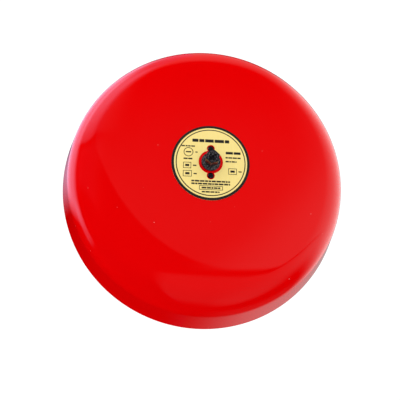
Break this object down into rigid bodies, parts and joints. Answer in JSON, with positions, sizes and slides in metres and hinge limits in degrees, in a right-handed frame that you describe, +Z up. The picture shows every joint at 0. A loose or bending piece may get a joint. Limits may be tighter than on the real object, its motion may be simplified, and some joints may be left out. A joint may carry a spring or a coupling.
{
  "type": "motor fire alarm bell",
  "caption": "Wall-mounted motor fire alarm bell: a shallow red round gong over a small motor, gears, a cam and a sprung striker on a square steel plate.",
  "frame": {"origin": "centre of the mounting plate's back face, on the wall", "axes": "+Z up the wall, -Y out of the wall towards the viewer of the gong, +X to the viewer's right"},
  "size_m": [0.254, 0.0766, 0.254],
  "materials": {
    "red_paint": "high-gloss red enamel on pressed steel",
    "label_foil": "satin gold polyester foil with a black ring and plain bars",
    "black_steel": "black oxide, slightly oily",
    "black_casting": "black painted die casting",
    "zinc_plate": "bright zinc-plated sheet",
    "zinc_fastener": "zinc-plated",
    "bright_steel": "ground bright steel",
    "rubber": "matt black rubber",
    "nylon": "natural nylon",
    "black_nylon": "moulded black plastic",
    "brass": "turned brass",
    "copper": "enamelled copper and bare copper",
    "ferrite": "sintered grey-black magnet",
    "board": "green solder mask over fibreglass",
    "terminal_green": "moulded green plastic",
    "capacitor_blue": "glossy dipped box",
    "lead_red": "PVC insulation",
    "lead_black": "PVC insulation"
  },
  "bodies": {
    "base": {"axle_clip": "black_steel", "board_post_1": "nylon", "board_post_2": "nylon", "bracket_screw_1": "zinc_fastener", "bracket_screw_2": "zinc_fastener", "cable_grommet": "rubber", "cam_axle": "bright_steel", "circuit_board": "board", "deck_screw_1": "zinc_fastener", "deck_screw_2": "zinc_fastener", "deck_screw_3": "zinc_fastener", "deck_standoff_1": "zinc_fastener", "deck_standoff_2": "zinc_fastener", "deck_standoff_3": "zinc_fastener", "earth_screw": "brass", "flat_washer": "black_steel", "gong": "red_paint", "gong_nut": "black_steel", "gong_pillar": "black_casting", "gong_stud": "black_steel", "label": "label_foil", "locating_pin_lower": "black_steel", "locating_pin_upper": "black_steel", "mechanism_deck": "zinc_plate", "motor_bearing": "brass", "motor_can": "zinc_plate", "motor_end_cap": "black_nylon", "motor_lead_black": "lead_black", "motor_lead_red": "lead_red", "motor_magnet_left": "ferrite", "motor_magnet_right": "ferrite", "motor_screw_1": "zinc_fastener", "motor_screw_2": "zinc_fastener", "motor_terminal_1": "brass", "motor_terminal_2": "brass", "mounting_plate": "zinc_plate", "pillar_screw_1": "zinc_fastener", "pillar_screw_2": "zinc_fastener", "polarising_diode": "black_nylon", "spring_washer": "black_steel", "striker_bracket": "zinc_plate", "striker_buffer": "rubber", "striker_bush_inner": "nylon", "striker_bush_outer": "nylon", "striker_spring": "bright_steel", "suppression_capacitor": "capacitor_blue", "terminal_block": "terminal_green", "terminal_screw_1": "zinc_fastener", "terminal_screw_2": "zinc_fastener", "terminal_screw_3": "zinc_fastener", "terminal_screw_4": "zinc_fastener"},
    "rotor": {"motor_shaft": "bright_steel", "armature": "copper", "commutator": "copper", "motor_pinion": "brass"},
    "cam": {"cam_gear": "nylon"},
    "striker": {"striker_rod": "bright_steel", "striker_collar": "brass", "striker_hammer": "bright_steel"}
  },
  "joints": [
    {"name": "motor_spin", "type": "hinge", "parent": "base", "child": "rotor", "pos_m": [-0.01663, 0, -0.0184], "axis": [0, -1, 0], "continuous": true},
    {"name": "cam_spin", "type": "hinge", "parent": "base", "child": "cam", "pos_m": [0, 0, -0.028], "axis": [0, -1, 0], "continuous": true},
    {"name": "striker_slide", "type": "slide", "parent": "base", "child": "striker", "axis": [0, 0, -1], "range_m": [0, 0.0022], "stiffness_N_per_m": 250, "springref_m": -0.004, "deforming": ["striker_spring"]}
  ],
  "couplings": [
    {"joint": "cam_spin", "follows": "motor_spin", "ratio": -0.33333}
  ]
}
